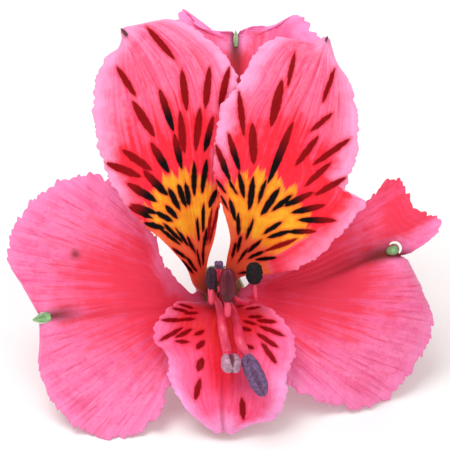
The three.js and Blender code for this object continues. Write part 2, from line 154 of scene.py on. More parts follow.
# "rib" is the strength and width of the dark line along the midrib on its left and on its right side;
# the line is partly the midrib's own colour and partly painted shade of its groove. A "droop" of None
# is found so that the tepal rests on the floor. Each row is one station from the claw to the tip: left
# edge, midrib and right edge, left and right as seen looking outwards along the tepal.
TEPALS = {
    "upper_outer_tepal": {
        **OUTER, "angle": 58, "half_angle": 22, "cup": 1.2, "width": 24,
        "rib": ((0.75, 0.9), (0.75, 0.9)),
        "rows": [
            [(1.4, 3.6), (2.4, 3.4), (3.5, 2.8)],
            [(1.9, 6.6), (3.2, 6.6), (5.4, 5.6)],
            [(2.2, 10.6), (4.2, 10.8), (8.6, 9.2)],
            [(0.8, 15.6), (4.4, 16), (12, 14.2)],
            [(-2.6, 22.8), (3.8, 23.2), (15.2, 21.8)],
            [(-5.4, 31), (3.1, 30.2), (16.6, 30.6)],
            [(-6.9, 38.4), (2.7, 35), (16.2, 37.2)],
            [(-6.6, 42.4), (2.5, 36.8), (14.4, 40.8)],
            [(-5.6, 43.8), (2.4, 37.6), (11.9, 43)],
            [(-3.4, 41.1), (2.4, 38.2), (9, 41.4)],
            [(-0.2, 40.4), (2.4, 38.8), (5, 41.1)],
            [(1.9, 40.3), (2.5, 39.5), (3.2, 40.4)],
        ],
    },
    "left_outer_tepal": {
        **OUTER, "angle": 200, "half_angle": 24, "cup": 0.8, "width": 40,
        "droop_side": -1, "droop": 1.5, "rib": ((0.18, 0.6), (0.3, 1.4)),
        "rows": [
            [(-3.6, -3.4), (-4.3, -2.2), (-4.3, -0.8)],
            [(-5.4, -8), (-7, -3), (-6, 0.6)],
            [(-7.2, -11.6), (-10.6, -3.6), (-8.6, 3.8)],
            [(-8.2, -15.6), (-14.6, -4), (-10.6, 9.2)],
            [(-9.6, -19.6), (-18.2, -4.1), (-14, 14.8)],
            [(-13.4, -22.5), (-21, -4.2), (-19, 17.8)],
            [(-17.2, -23.2), (-23.2, -4.3), (-24.4, 17)],
            [(-21.6, -21.8), (-24.8, -4.3), (-29.2, 13.8)],
            [(-26, -17.6), (-25.8, -4.3), (-32.2, 9.4)],
            [(-28.2, -12.2), (-26.5, -4.3), (-33, 4.8)],
            [(-28.1, -8), (-27, -4.3), (-30.8, 0.8)],
            [(-28.1, -5.2), (-27.3, -4.3), (-28.3, -3.5)],
        ],
    },
    "right_outer_tepal": {
        **OUTER, "angle": -25, "half_angle": 24, "cup": 0.8, "width": 36,
        # its midrib line runs wide on the upper side: painted shade of the groove above the midrib
        "droop_side": 1, "droop": None, "rib": ((0.95, 2.4), (0.95, 0.5)),
        "rows": [
            [(3.9, 0.2), (4.2, -1.4), (3.6, -3.4)],
            [(6.4, 3), (7, -0.8), (5.8, -8.6)],
            [(10, 5.6), (10.8, 0.3), (8.8, -12.9)],
            [(14.6, 8.7), (14.8, 1.1), (12.8, -16.2)],
            [(18.8, 11.8), (18.2, 2.4), (18, -18.1)],
            [(22.6, 13.6), (21.2, 3.7), (22.6, -18.6)],
            [(26, 16.9), (23.2, 4.6), (26.6, -17)],
            [(28, 17.2), (24.8, 5.1), (29.4, -13.8)],
            [(30, 13.2), (25.9, 5.3), (32.2, -9.6)],
            [(34.6, 10.2), (26.8, 5.3), (33.6, -5.4)],
            [(32.4, 7.6), (27.5, 5.3), (32, -0.4)],
            [(29.7, 5.8), (28, 5.3), (29.6, 4.5)],
        ],
    },
    "lower_inner_tepal": {
        "slot": "lip_tepal", "ring": INNER_RING, "angle": 270, "half_angle": 34,
        "depth": LIP_FUNNEL, "channel": 1.4, "cup": -0.8, "width": 24,
        "rib": ((0.45, 0.5), (0.45, 0.3)),
        "rows": [
            [(3, -2.1), (0.1, -3.2), (-3, -2.2)],
            [(6.8, -2.6), (0.1, -4.8), (-6.6, -2)],
            [(9.8, -4.6), (0.1, -7.2), (-9.2, -4.2)],
            [(11.8, -9.2), (0.1, -10.2), (-10.4, -7.6)],
            [(10.6, -12.4), (0.2, -13.2), (-8.2, -10)],
            [(10.3, -16), (0.2, -16.4), (-8, -13.4)],
            [(8.9, -19.7), (0.3, -19.2), (-5.6, -18)],
            [(4.8, -21), (0.4, -21), (-2.8, -20.7)],
            [(1.6, -22.5), (0.5, -21.9), (-0.5, -22.4)],
        ],
    },
    "left_inner_tepal": {
        **INNER, "angle": 185, "width": 24, "lap": lambda x: -smooth(x, -9, 0),
        "rows": [
            [(-3.9, 0.4), (-3, 0.6), (-2.2, 1)],
            [(-5.2, 3.4), (-3.3, 4.2), (-1.9, 4.6)],
            [(-8.6, 7.4), (-4.1, 8.2), (-0.9, 8)],
            [(-13, 11.4), (-4.9, 12.8), (-0.2, 12.2)],
            [(-16.9, 17), (-6, 18.6), (0.6, 18)],
            [(-19.1, 24.3), (-7.4, 24.8), (1.8, 24.6)],
            [(-19.3, 31.4), (-9.6, 31.2), (2.8, 31.2)],
            [(-17.6, 35.9), (-12, 35.8), (1.6, 35.2)],
            [(-15.7, 37.4), (-13.7, 38.2), (-2.3, 39.2)],
            [(-15.1, 39), (-14.6, 39.5), (-7, 41.8)],
            [(-15.3, 40), (-15, 40.4), (-14.2, 40.7)],
        ],
    },
    "right_inner_tepal": {
        **INNER, "angle": 25, "width": 26, "lap": lambda x: 1 - smooth(x, 0, 9),
        "rows": [
            [(0.9, 2.6), (1.9, 2.4), (2.9, 1.6)],
            [(1.1, 4.8), (2.8, 4.6), (4.4, 2.2)],
            [(1.6, 8), (4.2, 8.2), (8.4, 2.5)],
            [(0.6, 12.2), (5.7, 12.4), (14, 4.4)],
            [(-0.8, 17.2), (7.3, 16.4), (20.6, 11)],
            [(-0.9, 20.5), (8.6, 19.8), (22.4, 13.6)],
            [(-0.5, 24), (9.8, 23), (19.2, 15)],
            [(0.1, 28), (11.4, 26.8), (21, 20.4)],
            [(3, 32), (13.2, 30.8), (21.1, 27.4)],
            [(5.2, 36.2), (14.8, 34.4), (19.9, 32.2)],
            [(8.6, 39), (15.8, 36.8), (18.1, 35)],
            [(13.5, 38.2), (16.3, 38), (17.3, 37.2)],
            [(16.1, 39), (16.5, 39), (16.9, 38.7)],
        ],
    },
}

# ---- tepals: streaks -----------------------------------------------------------------------
# Streaks lie in rings round the axis and follow the tepal outwards. Each ring: its inner and outer
# distance from the axis, the width and ink of its streaks, and where across the tepal they start,
# from its left edge (-1) to its right (1). "spread" is how many times as far across they end: left
# and right of the midrib, each for the inmost and the outmost rings.
RED, BLACK, RUNNING = (0, 0), (1, 1), (0, 1)  # ink at the outer and at the inner end
STREAKS = {
    "left_inner_tepal": {
        "spread": ((1.4, 1.8), (1.2, 1.3)),
        "rings": [
            (4.8, 7.6, 0.45, BLACK, (-0.68, -0.45, 0, 0.38)),
            (7, 10, 0.5, BLACK, (-0.66, -0.15, 0.5)),
            (7.4, 13.2, 0.5, RED, (0.66, 0.8)),
            (8.4, 12, 0.5, BLACK, (-0.3, 0.22)),
            (9.4, 13.8, 0.6, BLACK, (-0.56, -0.43, 0.43)),
            (12.9, 15.7, 0.8, BLACK, (-0.66, -0.4, -0.26, 0.69)),
            (13.8, 17.8, 0.85, BLACK, (-0.16, -0.06, 0.04)),
            (15.2, 19.2, 0.85, RUNNING, (-0.72, -0.58)),
            (15.2, 20.4, 0.8, BLACK, (0.25, 0.47)),
            (16.7, 22, 1.1, RUNNING, (-0.48, -0.3)),
            (19.6, 25.2, 1.1, RUNNING, (-0.18, 0.02)),
            (21.2, 26.4, 1.1, RED, (-0.56, -0.4)),
            (21.4, 27, 0.95, RUNNING, (0.53,)),
            (21.8, 28.4, 1, RED, (0.15, 0.37)),
            (25.4, 32.4, 1.1, RUNNING, (0.02,)),
            (25.6, 32.2, 1.2, RED, (-0.25,)),
            (28, 34.6, 1, RED, (0.3, 0.57, 0.76)),
            (32.3, 38, 0.9, RED, (-0.37,)),
            (36.1, 42.2, 0.9, RED, (0.36,)),
        ],
    },
    "right_inner_tepal": {
        "spread": ((1.1, 1.6), (1.4, 1.95)),
        "rings": [
            (3.9, 5.8, 0.45, BLACK, (0.6,)),
            (5.3, 8.2, 0.45, BLACK, (-0.58, 0.12)),
            (6.6, 9.4, 0.55, BLACK, (-0.35, 0.34)),
            (7.3, 10.4, 0.6, BLACK, (0.21, 0.5)),
            (9, 12.4, 0.65, BLACK, (-0.52, -0.03)),
            (9.2, 14.6, 0.7, RED, (0.47,)),
            (11, 14.4, 0.7, BLACK, (-0.66, 0.25, 0.35)),
            (12.4, 14.8, 0.4, BLACK, (-0.84,)),
            (13.2, 18.4, 0.9, BLACK, (-0.24, 0.09)),
            (13.6, 17.6, 0.75, RUNNING, (0.48,)),
            (14.6, 18.6, 0.75, BLACK, (-0.42, -0.05, 0.18)),
            (15, 17.2, 0.45, BLACK, (-0.82, -0.56)),
            (16.2, 21, 0.9, RUNNING, (0.27, 0.38, 0.5)),
            (16.8, 22.6, 0.9, RUNNING, (-0.7,)),
            (18, 28.4, 1.2, RUNNING, (0.01,)),
            (18.6, 24.4, 0.9, RUNNING, (-0.55,)),
            (20, 26.3, 1.2, RED, (-0.33,)),
            (20.6, 26.2, 0.85, RED, (0.36, 0.5)),
            (22.3, 28.3, 0.9, RED, (0.21,)),
            (23.8, 31, 0.85, RED, (-0.59, 0.45)),
            (26.3, 33.9, 1.3, RED, (-0.25,)),
            (27.9, 32.4, 0.75, RED, (0.28,)),
            (32.8, 38.6, 0.7, RED, (-0.28, 0.33)),
        ],
    },
    "lower_inner_tepal": {
        "spread": ((1.45, 1.45), (1.48, 1.48)),
        "rings": [
            (4, 4.9, 0.35, RED, (-0.6,)),
            (5.2, 7, 0.45, RED, (-0.66, 0.5, 0.64)),
            (6.2, 8.1, 0.5, RED, (-0.54, -0.42, 0.5, 0.66)),
            (7, 8.2, 0.6, RED, (-0.34, 0.28)),
            (7.6, 10.3, 0.65, RED, (-0.63, 0.46, 0.66)),
            (8.3, 12.4, 0.65, RED, (-0.62, 0.62)),
            (8.4, 10, 0.85, RED, (0.24,)),
            (8.9, 12.9, 0.7, RED, (-0.54,)),
            (9.5, 10.7, 0.55, RED, (-0.32, 0.46)),
            (10.4, 14.6, 0.75, RED, (-0.56,)),
            (10.9, 13.1, 1.05, RED, (0.3,)),
            (14, 17.5, 0.85, RED, (0.4,)),
            (16.9, 20.5, 0.85, RED, (-0.32,)),
        ],
    },
}

# ---- tepals: shape -------------------------------------------------------------------------
MESH_ROWS, MESH_COLUMNS = 1.9, 0.045  # density along and across, times fineness and a width term
NARROW = 24  # a tepal narrower than this gets the rows of one this wide
BLADE_FROM, BLADE_FULL = 0.15, 0.6  # where along a tepal its claw ends and its blade is full
INNER_TEETH = 0.6  # teeth of the inner tepals, as a share of the outer ones'
TOOTH_PITCH, TEETH_FROM = 1.15, 0.86  # and where across the blade the teeth set in
FINE_RIBS, FINE_RIB_HEIGHT = 17, 0.045
SWELL_HEIGHT = 0.16
BLADE_SHARE, MIDRIB_SHARE, CLAW_SHARE = 0.75, 1.1, 0.5  # of the thickness; they add up
EDGE_SHARE = 0.45  # what the very edge keeps of that thickness
MOST_DROOP, HALVINGS = 30.0, 26  # search for the droop that rests on the floor
STREAK_HALF = 0.56  # half width of a streak at its middle, as a share of its width
FAR = 9.0  # stands for no streak near
FAN_SPAN, OUT_SPAN = 1.6, 40  # bearing and distance that an outer tepal's texture is mapped over
BUILDING_FIELDS = ("across", "along", "fan", "out", "reach")  # no finish reads these

def through(stations, along):
    """A smooth curve through the stations (centripetal Catmull-Rom), along from 0 to 1."""
    stations = np.asarray(stations, dtype=float)
    before = 2 * stations[0] - stations[1]
    after = 2 * stations[-1] - stations[-2]
    knots = np.vstack([before, stations, after])
    place = np.asarray(along) * (len(stations) - 1)
    span = np.clip(np.floor(place).astype(int), 0, len(stations) - 2)
    t = (place - span)[:, None]
    p0, p1, p2, p3 = (knots[span + i] for i in range(4))
    step0, step1, step2 = (
        np.maximum(np.linalg.norm(b - a, axis=1), 1e-6)[:, None] ** 0.5
        for a, b in ((p0, p1), (p1, p2), (p2, p3))
    )
    slope1 = (p1 - p0) / step0 - (p2 - p0) / (step0 + step1) + (p2 - p1) / step1
    slope2 = (p2 - p1) / step1 - (p3 - p1) / (step1 + step2) + (p3 - p2) / step2
    slope1, slope2 = slope1 * step1, slope2 * step1
    return (
        p1 + slope1 * t
        + (3 * (p2 - p1) - 2 * slope1 - slope2) * t**2
        + (2 * (p1 - p2) + slope1 + slope2) * t**3
    )


def outline(tepal, side, along):
    """The left edge (-1), midrib (0) or right edge (1) of a tepal, from its ring to its tip."""
    turn = math.radians(tepal["angle"] - side * tepal["half_angle"])
    foot = (tepal["ring"] * math.cos(turn), tepal["ring"] * math.sin(turn))
    return through([foot] + [row[side + 1] for row in tepal["rows"]], along)


def ripple(s, phase, *waves):
    """A sum of sines of s: each wave is a length and a height."""
    return sum(h * np.sin(2 * math.pi * s / w + phase * (i + 1)) for i, (w, h) in enumerate(waves))


def even_steps(tepal, count):
    """Places along a tepal at which its quickest line moves on by even steps."""
    fine = np.linspace(0, 1, 3000)
    lines = [outline(tepal, side, fine) for side in (-1, 0, 1)]
    moves = np.max([np.linalg.norm(np.diff(line, axis=0), axis=1) for line in lines], axis=0)
    travelled = np.concatenate([[0], np.cumsum(moves)])
    return np.interp(np.linspace(0, travelled[-1], count), travelled, fine)


def teeth(edge, middle, phase, size):
    """The edge with a fine irregular row of teeth, none at the claw."""
    steps = np.linalg.norm(np.diff(edge, axis=0), axis=1)
    s = np.concatenate([[0], np.cumsum(steps)])
    saw = np.abs(np.sin(math.pi * s / TOOTH_PITCH + ripple(s, phase, (7.3, 0.9), (4.1, 0.6))))
    lobes = ripple(s, phase, (5.2, 0.45), (2.9, 0.4), (1.7, 0.3))
    outward = edge - middle
    length = np.linalg.norm(outward, axis=1)
    push = size * (saw - 0.6 + lobes) * smooth(length, 3, 8)
    return outward * (push / np.maximum(length, 0.5))[:, None]


def tepal_grid(name, settings, droop):
    """Middle surface of a tepal as a grid of points, with the fields its finish needs."""
    tepal = TEPALS[name]
    phase = tepal["angle"] / 37
    rows = int(settings.fineness * MESH_ROWS * max(tepal["width"], NARROW) ** 0.35)
    columns = int(settings.fineness * MESH_COLUMNS * tepal["width"]) * 2 + 1
    along = even_steps(tepal, rows)
    across = np.linspace(-1, 1, columns)
    rib = outline(tepal, 0, along)
    edges = {side: outline(tepal, side, along) for side in (-1, 1)}
    xy = np.empty((rows, columns, 2))
    rim = np.empty((rows, columns))
    size = settings.tooth / MM * (INNER_TEETH if tepal["ring"] == INNER_RING else 1)
    toothed = {side: teeth(edges[side], rib, phase + side, size) for side in edges}
    for j, v in enumerate(across):
        side = -1 if v < 0 else 1
        reach = edges[side] - rib
        xy[:, j] = rib + reach * abs(v) + toothed[side] * smooth(abs(v), TEETH_FROM, 1.0)
        rim[:, j] = (1 - abs(v)) * np.linalg.norm(reach, axis=1)
    rim = np.minimum(rim, np.linalg.norm(xy - xy[-1:], axis=2))
    x, y = xy[..., 0], xy[..., 1]
    u, v = along[:, None], across[None, :]
    r = np.hypot(x, y)
    blade = smooth(u, BLADE_FROM, BLADE_FULL)
    bend = v * v
    channel = tepal["channel"] * (1 - blade) * smooth(u, 0, 0.1)
    z = tepal["depth"](r) + bend * (channel + tepal["cup"] * blade)
    if "lap" in tepal:
        z = z + LAP_DEPTH * tepal["lap"](x) * smooth(y, 5, 12)
    if "droop_side" in tepal:
        z = z - droop * bend * blade * (v * tepal["droop_side"] > 0)
    # Relief: the midrib's groove, fine ribs, undulation and a wavy margin, then a sunken foot.
    half_width = {side: np.linalg.norm(edges[side] - rib, axis=1)[:, None] for side in edges}
    spine = np.abs(v) * np.where(v < 0, half_width[-1], half_width[1])
    z = z - settings.groove / MM * bell(spine, 0.9) * smooth(u, 0.02, 0.2)
    z = z + FINE_RIB_HEIGHT * np.cos(math.pi * FINE_RIBS * v) * smooth(u, 0.1, 0.35)
    swell = ripple(x + 0.4 * y, phase, (11, 1), (6.3, 0.5)) + ripple(y - 0.3 * x, phase, (9, 0.8))
    z = z + SWELL_HEIGHT * blade * swell
    wave = ripple(u * 60 * np.ones_like(z), phase + np.sign(v), (9.5, 0.6), (5.2, 0.4), (3.1, 0.25))
    z = z + settings.ruffle / MM * wave * np.abs(v) ** 5 * smooth(r, 8, 16)
    z = z - TEPAL_FOOT * 1.2 * (1 - smooth(u, 0, 0.05))
    grid = np.dstack([xy, z])
    fields = {
        "spine": spine * np.sign(v), "rim": rim, "reach": r,
        "across": np.broadcast_to(v, z.shape), "along": np.broadcast_to(u, z.shape),
    }
    if tepal["ring"] == OUTER_RING:
        bearing = np.arctan2(y, x) - math.radians(tepal["angle"])
        fields["fan"] = np.arctan2(np.sin(bearing), np.cos(bearing)) / FAN_SPAN
        fields["out"] = r / OUT_SPAN
    else:
        fields["fan"], fields["out"] = fields["across"] * 0.5, fields["along"]
    share = BLADE_SHARE + MIDRIB_SHARE * bell(spine, 1.4) + CLAW_SHARE * (1 - blade)
    thickness = settings.thickness / MM * share
    thickness = thickness * (EDGE_SHARE + (1 - EDGE_SHARE) * smooth(rim, 0, 1.2))
    return grid, fields, thickness


def resting_droop(name, settings):
    """How far a side tepal's lower edge bends back to lie on the floor."""
    low, high = 0.0, MOST_DROOP
    for _ in range(HALVINGS):
        droop = (low + high) / 2
        grid = tepal_grid(name, settings, droop)[0]
        lowest = placed(grid.reshape(-1, 3))[:, 2].min()
        if lowest > SOLID_TEPAL / 2 * MM:
            low = droop
        else:
            high = droop
    return low


def add_object(name, data):
    obj = bpy.data.objects.new(name, data)
    bpy.context.scene.collection.objects.link(obj)
    return obj


def mesh_object(name, points, faces):
    """A smooth-shaded object from points in metres and faces of equal or mixed size."""
    mesh = bpy.data.meshes.new(name)
    mesh.from_pydata([tuple(p) for p in points], [], [tuple(int(i) for i in f) for f in faces])
    mesh.validate()
    mesh.shade_smooth()
    return add_object(name, mesh)


def set_field(obj, name, values):
    layer = obj.data.attributes.new(name, "FLOAT", "POINT")
    layer.data.foreach_set("value", np.asarray(values, dtype=np.float32).ravel())


def sheet_mesh(name, grid, thickness, fields):
    """A closed thin mesh: the grid moved half the thickness each way, with a wall round it."""
    rows, columns, _ = grid.shape
    normal = np.cross(np.gradient(grid, axis=1), np.gradient(grid, axis=0))
    normal /= np.maximum(np.linalg.norm(normal, axis=2, keepdims=True), 1e-9)
    half = normal * thickness[..., None] / 2
    points = np.concatenate([(grid + half).reshape(-1, 3), (grid - half).reshape(-1, 3)])
    index = np.arange(rows * columns).reshape(rows, columns)
    front = np.stack([index[:-1, :-1], index[:-1, 1:], index[1:, 1:], index[1:, :-1]], axis=-1)
    front = front.reshape(-1, 4)
    back = front[:, ::-1] + rows * columns
    border = np.concatenate([index[0, :], index[1:, -1], index[-1, -2::-1], index[-2:0:-1, 0]])
    after = np.roll(border, -1)
    wall = np.stack([after, border, border + rows * columns, after + rows * columns], axis=-1)
    faces = np.concatenate([front, back, wall])
    obj = mesh_object(name, placed(points), faces)
    for field, values in fields.items():
        if field not in BUILDING_FIELDS:
            set_field(obj, field, np.tile(np.ravel(values), 2))
    set_field(obj, "back", np.repeat([0.0, 1.0], rows * columns))
    uv = np.stack([fields["fan"] + 0.5, fields["out"]], axis=-1).reshape(-1, 2)
    uv = np.tile(uv, (2, 1))[faces.ravel()]
    obj.data.uv_layers.new(name="tepal").data.foreach_set("uv", uv.astype(np.float32).ravel())
    return obj


def point_on(grid, fields, place, distance):
    """The point of a tepal at a place across it and a distance from the axis, seen face on."""
    column = np.abs(fields["across"][0] - place).argmin()
    line, away = grid[:, column], fields["reach"][:, column]
    farthest = away.argmax() + 1
    return [np.interp(distance, away[:farthest], line[:farthest, i]) for i in (0, 1)]


def streak_fields(name, grid, fields):
    """Distance in mm to the nearest streak's edge (negative inside it), and how black it is."""
    x, y = grid[..., 0], grid[..., 1]
    nearest = np.full(x.shape, FAR)
    black = np.zeros(x.shape)
    wobble = 0.02 * (ripple(x, 1.3, (1.1, 1), (0.7, 0.6)) + ripple(y, 2.1, (1.3, 1), (0.8, 0.7)))
    spread = STREAKS[name]["spread"]
    streaks = [(*ring[:4], place) for ring in STREAKS[name]["rings"] for place in ring[4]]
    for low, high, width, (outer, inner), place in streaks:
        x1, y1 = point_on(grid, fields, place, low)
        inmost, outmost = spread[place > 0]
        end = place * (inmost + (outmost - inmost) * smooth(low, 8, 22))
        x0, y0 = point_on(grid, fields, np.clip(end, -0.97, 0.97), high)
        dx, dy = x1 - x0, y1 - y0
        t = ((x - x0) * dx + (y - y0) * dy) / (dx * dx + dy * dy)
        held = np.clip(t, 0, 1)
        gap = np.hypot(x - x0 - dx * held, y - y0 - dy * held)
        spindle = (1 - np.abs(2 * held - 1) ** 2.4) ** 0.75
        distance = gap - width * STREAK_HALF * spindle + wobble
        closer = distance < nearest
        nearest = np.where(closer, distance, nearest)
        black = np.where(closer, outer + (inner - outer) * smooth(held, 0.15, 0.7), black)
    return {"streak": nearest, "black": black}


# ---- finishes ------------------------------------------------------------------------------


class Finish:
    """Builds one node material a step at a time."""

    def __init__(self, name, roughness=0.5, **fixed):
        self.material = bpy.data.materials.new(name)
        self.material.use_nodes = True
        self.tree = self.material.node_tree
        self.shader = self.tree.nodes["Principled BSDF"]
        self.shader.inputs["Roughness"].default_value = roughness
        for socket, value in fixed.items():
            self.shader.inputs[socket.replace("_", " ")].default_value = value

    def node(self, kind, *sources, **settings):
        made = self.tree.nodes.new(kind)
        for key, value in settings.items():
            setattr(made, key, value)
        for socket, source in zip(made.inputs, sources):
            self.feed(socket, source)
        return made

    def feed(self, socket, source):
        if source is None:
            return
        if isinstance(source, bpy.types.NodeSocket):
            self.tree.links.new(source, socket)
        elif socket.type == "RGBA":
            socket.default_value = (*source, 1)
        else:
            socket.default_value = source

    def field(self, name):
        return self.node("ShaderNodeAttribute", attribute_name=name).outputs["Fac"]

    def place(self):
        return self.node("ShaderNodeTexCoord").outputs["Object"]

    def stretched(self, scale, vector=None):
        """Coordinates for a texture, stretched by scale; along the tepal's own lines by default."""
        if vector is None:
            vector = self.node("ShaderNodeUVMap", uv_map="tepal").outputs["UV"]
        made = self.node("ShaderNodeMapping", vector)
        made.inputs["Scale"].default_value = scale
        return made.outputs["Vector"]

    def noise(self, scale, detail, roughness, vector=None):
        made = self.node("ShaderNodeTexNoise", self.place() if vector is None else vector)
        made.inputs["Scale"].default_value = scale
        made.inputs["Detail"].default_value = detail
        made.inputs["Roughness"].default_value = roughness
        return made.outputs["Fac"]

    def maths(self, operation, *values):
        return self.node("ShaderNodeMath", *values, operation=operation).outputs[0]

    def plus(self, a, b):
        return self.maths("ADD", a, b)

    def times(self, a, b):
        return self.maths("MULTIPLY", a, b)

    def ramp(self, value, low, high, start=0.0, end=1.0):
        """A smooth step of value: start at low, end at high."""
        made = self.node("ShaderNodeMapRange", interpolation_type="SMOOTHSTEP")
        keys = ("Value", "From Min", "From Max", "To Min", "To Max")
        for key, source in zip(keys, (value, low, high, start, end)):
            self.feed(made.inputs[key], source)
        return made.outputs[0]

    def mix(self, factor, a, b):
        made = self.node("ShaderNodeMix", data_type="RGBA")
        for key, source in (("Factor_Float", factor), ("A_Color", a), ("B_Color", b)):
            socket = next(s for s in made.inputs if s.identifier == key)
            self.feed(socket, source)
        return next(s for s in made.outputs if s.identifier == "Result_Color")

    def over(self, tone, ink, value, low, high, start=0.0, end=1.0):
        """The ink laid over the tone by a smooth step of value."""
        return self.mix(self.ramp(value, low, high, start, end), tone, ink)

    def colour(self, source):
        self.feed(self.shader.inputs["Base Color"], source)

    def bump(self, height, strength, distance):
        made = self.node("ShaderNodeBump")
        made.inputs["Strength"].default_value = strength
        made.inputs["Distance"].default_value = distance * MM
        self.feed(made.inputs["Height"], height)
        self.feed(self.shader.inputs["Normal"], made.outputs["Normal"])

    def rough(self, value, low, high):
        self.feed(self.shader.inputs["Roughness"], self.ramp(value, 0.2, 0.8, low, high))


def rgb(code):
    """A hexadecimal screen colour as linear light."""
    channels = [int(code[i:i + 2], 16) / 255 for i in (0, 2, 4)]
    return tuple(c / 12.92 if c < 0.04045 else ((c + 0.055) / 1.055) ** 2.4 for c in channels)


def colour_setting(name, description, code):
    return FloatVectorProperty(
        name=name, description=description, subtype="COLOR", size=3, min=0, max=1, default=rgb(code)
    )


def tepal_base(finish, inks):
    """Veined ground colour of a tepal: two tones, lines that run out from its claw, and red glow."""
    fine = finish.noise(1.0, 4, 0.6, finish.stretched((95, 5, 1)))
    rays = finish.noise(1.0, 3, 0.6, finish.stretched((30, 1.6, 1)))
    mottle = finish.noise(260, 4, 0.65)
    cells = finish.noise(1900, 3, 0.7)
    tone = finish.over(inks.blade, inks.blade_light, rays, 0.35, 0.65)
    tone = finish.over(tone, inks.vein, finish.noise(130, 3, 0.6), 0.48, 0.66, 0, 0.42)
    tone = finish.over(tone, inks.blade_light, mottle, 0.5, 0.66, 0, 0.6)
    tone = finish.over(tone, inks.vein, mottle, 0.48, 0.3, 0, 0.4)
    tone = finish.over(tone, inks.vein, fine, 0.5, 0.68, 0, 0.68)
    patches = finish.ramp(mottle, 0.3, 0.7, -0.15, 0.15)
    ragged = finish.plus(finish.ramp(rays, 0.3, 0.7, -0.3, 0.3), patches)
    glow = finish.plus(finish.field("glow"), finish.times(ragged, finish.field("stir")))
    tone = finish.over(tone, inks.heart, glow, 0.0, 0.95, 0, 0.94)
    tone = finish.over(tone, inks.vein, cells, 0.48, 0.7, 0, 0.36)
    return tone, fine, mottle, cells


def pale_margin(finish, tone, inks, mottle):
    """A paler edge that fades inwards unevenly over about 4 mm."""
    rim = finish.plus(finish.field("rim"), finish.ramp(mottle, 0.3, 0.7, -0.7, 0.7))
    margin = finish.times(finish.ramp(rim, 3.8, 0.1, 0, 0.9), finish.field("pale"))
    return finish.mix(margin, tone, inks.margin)


def tepal_surface(finish, tone, inks, fine, mottle, cells):
    """Paler back with a greenish midrib, fine ribs, the grain of cells and a soft uneven gloss."""
    back = finish.field("back")
    tone = finish.mix(finish.times(back, 0.4), tone, inks.margin)
    spine = finish.maths("ABSOLUTE", finish.field("spine"))
    line = finish.times(back, finish.ramp(spine, 1.3, 0.2, 0, 0.6))
    finish.colour(finish.mix(line, tone, inks.back_rib))
    height = finish.plus(finish.times(fine, 0.7), finish.times(cells, 0.3))
    finish.bump(height, 0.5, 0.25)
    finish.rough(mottle, 0.5, 0.7)


def outer_finish(name, inks):
    finish = Finish(name, Specular_IOR_Level=0.15)
    tone, fine, mottle, cells = tepal_base(finish, inks)
    tone = pale_margin(finish, tone, inks, mottle)
    # dark line along the midrib: partly its own colour, partly painted shade of its groove
    tone = finish.mix(finish.field("midrib"), tone, inks.rib)
    tone = finish.mix(finish.field("smudge"), tone, inks.smudge)
    tepal_surface(finish, tone, inks, fine, mottle, cells)
    return finish.material


def inner_finish(name, inks):
    finish = Finish(name, Specular_IOR_Level=0.1)
    tone, fine, mottle, cells = tepal_base(finish, inks)
    guide = finish.over(inks.blotch, inks.blotch_light, mottle, 0.35, 0.7)
    ragged = finish.ramp(fine, 0.3, 0.7, -0.22, 0.22)
    claw = finish.plus(finish.field("claw"), ragged)
    tone = finish.over(tone, inks.claw, claw, 0.3, 0.7, 0, 0.92)
    blotch = finish.plus(finish.field("blotch"), ragged)
    tone = finish.over(tone, guide, blotch, 0.25, 0.8, 0, 0.95)
    tone = finish.mix(finish.field("foot"), tone, inks.foot)
    tone = pale_margin(finish, tone, inks, mottle)
    # dark line along the midrib: partly its own colour, partly painted shade of its groove
    tone = finish.mix(finish.field("midrib"), tone, inks.rib)
    mark = finish.mix(finish.field("black"), inks.streak, inks.streak_dark)
    mark = finish.mix(finish.times(finish.field("back"), 0.55), mark, inks.vein)
    streak = finish.field("streak")
    tone = finish.over(tone, inks.heart, streak, 0.55, 0.0, 0, 0.5)
    tone = finish.over(tone, mark, streak, 0.12, -0.12)
    tepal_surface(finish, tone, inks, fine, mottle, cells)
    return finish.material


class OuterInks(PropertyGroup):
    blade: colour_setting("Blade", "Pink of the broad part", "F2689C")
    blade_light: colour_setting("Light blade", "Paler pink that mottles it", "FA88BA")
    heart: colour_setting("Heart", "Red towards the throat", "EA3048")
    vein: colour_setting("Vein", "Darker lines that run out from the claw", "D83E6C")
    back_rib: colour_setting("Back midrib", "Greenish midrib seen from behind", "A8A060")
    # the midrib line: partly the midrib's own dark colour, partly painted shade of its groove
    rib: colour_setting("Midrib", "Line along the middle", "740412")
    margin: colour_setting("Margin", "Paler edge", "FB90C8")
    smudge: colour_setting("Smudge", "Brown inwards of the green point", "6A2418")


class InnerInks(PropertyGroup):
    blade: colour_setting("Blade", "Pink of the broad part", "F6527C")
    blade_light: colour_setting("Light blade", "Paler pink that mottles it", "FF8AB2")
    heart: colour_setting("Flush", "Red round the yellow blotch", "F01A28")
    vein: colour_setting("Vein", "Darker lines that run out from the claw", "F03A62")
    back_rib: colour_setting("Back midrib", "Greenish midrib seen from behind", "C08A66")
    # the midrib line: partly the midrib's own dark colour, partly painted shade of its groove
    rib: colour_setting("Midrib", "Line along the middle", "8E2436")
    margin: colour_setting("Margin", "Pale lavender edge", "FFA2D0")
    blotch: colour_setting("Blotch", "Orange yellow of the nectar guide", "F08A18")
    blotch_light: colour_setting("Light blotch", "Clearer yellow that mottles it", "FBB32A")
    claw: colour_setting("Claw", "Coral of the narrow foot", "F66E42")
    foot: colour_setting("Foot", "Dull pink brown at the very base", "B27868")
    streak: colour_setting("Streak", "Dark red dashes", "880006")
    streak_dark: colour_setting("Dark streak", "Near black dashes", "060001")


